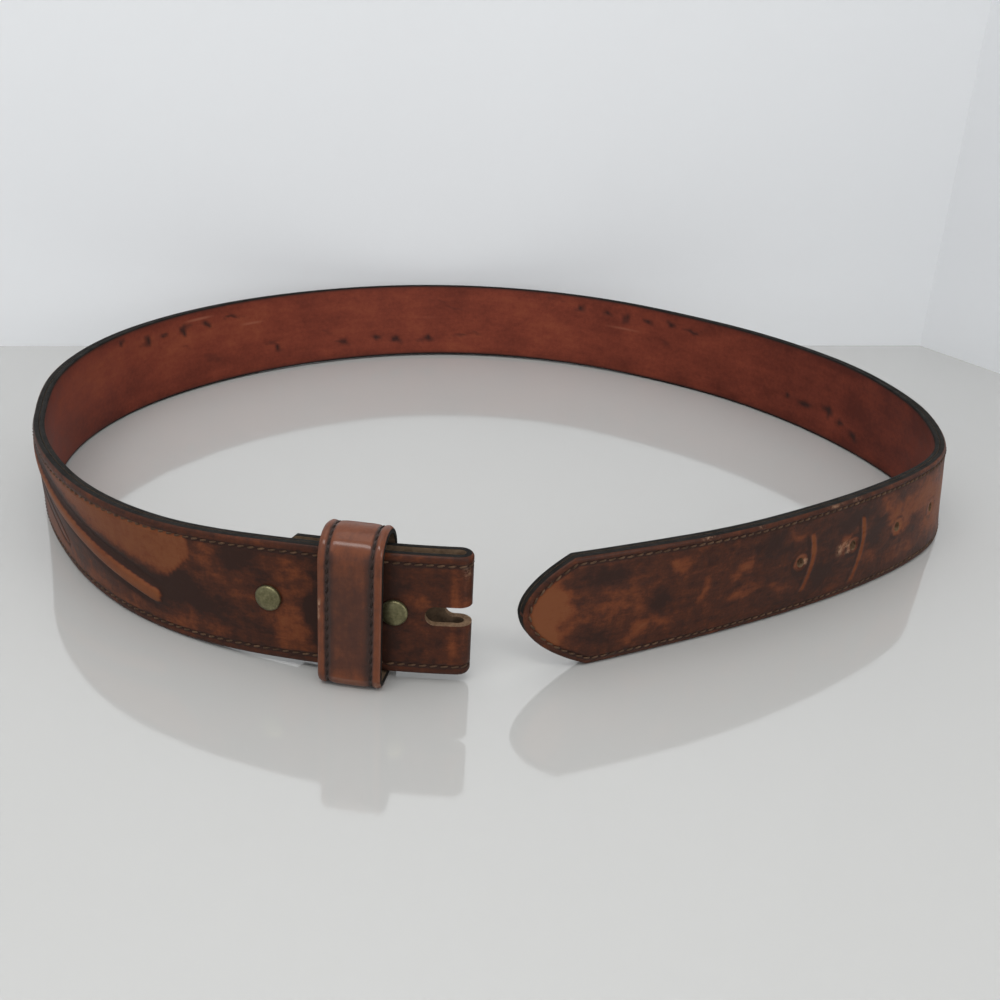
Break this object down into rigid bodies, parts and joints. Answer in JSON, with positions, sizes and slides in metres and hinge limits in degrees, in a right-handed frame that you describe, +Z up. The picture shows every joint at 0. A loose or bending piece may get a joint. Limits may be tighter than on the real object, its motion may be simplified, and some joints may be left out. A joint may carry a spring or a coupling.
{
  "type": "western belt",
  "caption": "Stitched leather belt strap standing in an open loop, with a folded snap end for a changeable buckle, a keeper and a pointed, holed tip.",
  "frame": {"origin": "under the middle of the whole belt, on the surface it stands on", "axes": "+Z up across the strap's width; the doubled buckle end is at the -Y side with its fold pointing to +X; the strap goes round clockwise seen from above"},
  "size_m": [0.362, 0.3554, 0.0474],
  "materials": {
    "face_leather": "dark brown mottled leather, waxed to a soft shine",
    "lining_leather": "smooth red-brown lining leather, nearly matte",
    "keeper_leather": "polished chestnut leather with tan borders",
    "snap_brass": "aged olive brass, satin"
  },
  "bodies": {
    "root": {"strap_face": "face_leather", "strap_lining": "lining_leather", "keeper": "keeper_leather", "snap_cap_1": "snap_brass", "snap_back_1": "snap_brass", "snap_cap_2": "snap_brass", "snap_back_2": "snap_brass"}
  },
  "joints": []
}
